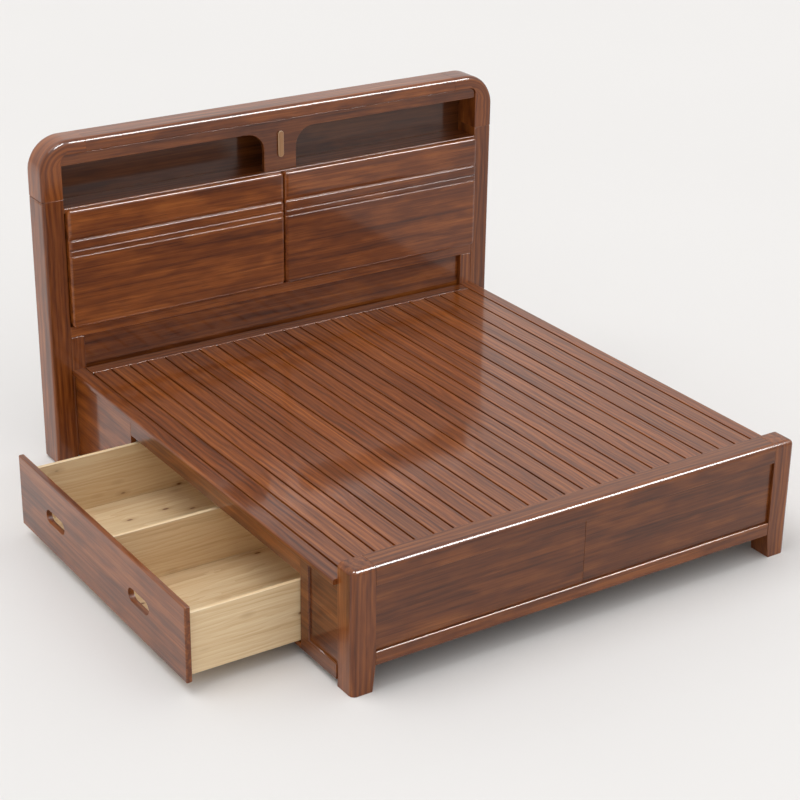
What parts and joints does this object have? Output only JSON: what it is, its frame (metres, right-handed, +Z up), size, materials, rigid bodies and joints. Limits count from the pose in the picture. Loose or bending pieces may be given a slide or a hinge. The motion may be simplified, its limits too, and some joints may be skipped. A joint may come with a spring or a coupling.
{
  "type": "platform bed with storage drawers",
  "caption": "Solid-wood double platform bed with a grooved plank deck, a shelf headboard, two ridged wooden backrest panels and a wide drawer in each side.",
  "frame": {"origin": "on the floor under the middle of the platform: the underside of the centre partition, on the bed's long centreline, midway between the foot face and the headboard face", "axes": "+Y towards the headboard, +Z up, +X to the right seen from the foot; at rest the drawer on the -X side stands open 0.422 m"},
  "size_m": [2.4565, 2.225, 1.35],
  "materials": {
    "walnut": "semi-gloss walnut lacquer over visible grain",
    "pine": "pale knotty pine, satin",
    "carcass_wood": "sawn, thinly stained",
    "light_oak": "satin tan wood"
  },
  "bodies": {
    "frame": {"foot_post_left": "walnut", "foot_post_right": "walnut", "foot_top_rail": "walnut", "foot_low_rail": "walnut", "foot_panel_left": "walnut", "foot_panel_right": "walnut", "side_cap_left": "walnut", "side_cap_right": "walnut", "side_foot_frame_left": "walnut", "side_foot_frame_right": "walnut", "side_head_panel_left": "walnut", "side_head_panel_right": "walnut", "side_beam_left": "walnut", "side_beam_right": "walnut", "side_sill_left": "walnut", "side_sill_right": "walnut", "deck_plank_1": "walnut", "deck_plank_2": "walnut", "deck_plank_3": "walnut", "deck_plank_4": "walnut", "deck_plank_5": "walnut", "deck_plank_6": "walnut", "deck_plank_7": "walnut", "deck_plank_8": "walnut", "deck_head_board": "walnut", "deck_bearer_1": "carcass_wood", "deck_bearer_2": "carcass_wood", "deck_bearer_3": "carcass_wood", "centre_partition": "carcass_wood", "drawer_runner_left_foot": "carcass_wood", "drawer_runner_left_head": "carcass_wood", "drawer_runner_right_foot": "carcass_wood", "drawer_runner_right_head": "carcass_wood", "headboard_post_left": "walnut", "headboard_post_right": "walnut", "headboard_corner_left": "walnut", "headboard_corner_right": "walnut", "headboard_beam": "walnut", "headboard_valance": "walnut", "headboard_pull": "light_oak", "headboard_shelf": "walnut", "headboard_back": "walnut", "headboard_middle_rail": "walnut", "headboard_lower_panel": "walnut", "headboard_stile_left": "walnut", "headboard_stile_right": "walnut", "backrest_left": "walnut", "backrest_right": "walnut"},
    "drawer_left": {"drawer_left_front": "walnut", "drawer_left_side_foot": "pine", "drawer_left_side_head": "pine", "drawer_left_back": "pine", "drawer_left_bottom": "pine", "drawer_left_divider": "pine"},
    "drawer_right": {"drawer_right_front": "walnut", "drawer_right_side_foot": "pine", "drawer_right_side_head": "pine", "drawer_right_back": "pine", "drawer_right_bottom": "pine", "drawer_right_divider": "pine"}
  },
  "joints": [
    {"name": "drawer_left_slide", "type": "slide", "parent": "frame", "child": "drawer_left", "axis": [-1, 0, 0], "range_m": [-0.422, 0.086]},
    {"name": "drawer_right_slide", "type": "slide", "parent": "frame", "child": "drawer_right", "axis": [1, 0, 0], "range_m": [0, 0.508]}
  ]
}
